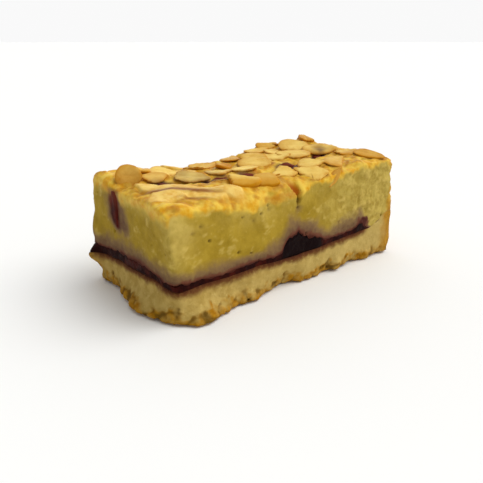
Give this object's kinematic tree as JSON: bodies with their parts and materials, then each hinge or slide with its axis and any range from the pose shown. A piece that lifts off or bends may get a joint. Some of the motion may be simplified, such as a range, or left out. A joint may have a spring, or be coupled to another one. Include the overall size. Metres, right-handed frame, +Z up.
{
  "type": "bakewell slice",
  "caption": "Rectangular bakewell slice: shortcrust base, thin jam layer and almond sponge, topped with baked flaked almonds.",
  "frame": {"origin": "on the surface the slice rests on, below the middle of its 100 by 50 mm plan", "axes": "+X along the slice, from the cut end to the browned end that stood against the tin; +Y from the cut side that shows the jam lumps to the other long side; +Z up"},
  "size_m": [0.1081, 0.0569, 0.0422],
  "materials": {
    "pastry": "baked shortcrust, dry and crumbly, browned at the base and at the tin end",
    "jam": "dark red jam, sticky and glossy",
    "sponge": "moist almond sponge with a golden top crust and toasted flaked almonds"
  },
  "bodies": {
    "root": {"pastry_base": "pastry", "jam_layer": "jam", "jam_vein": "jam", "almond_sponge": "sponge"}
  },
  "joints": []
}
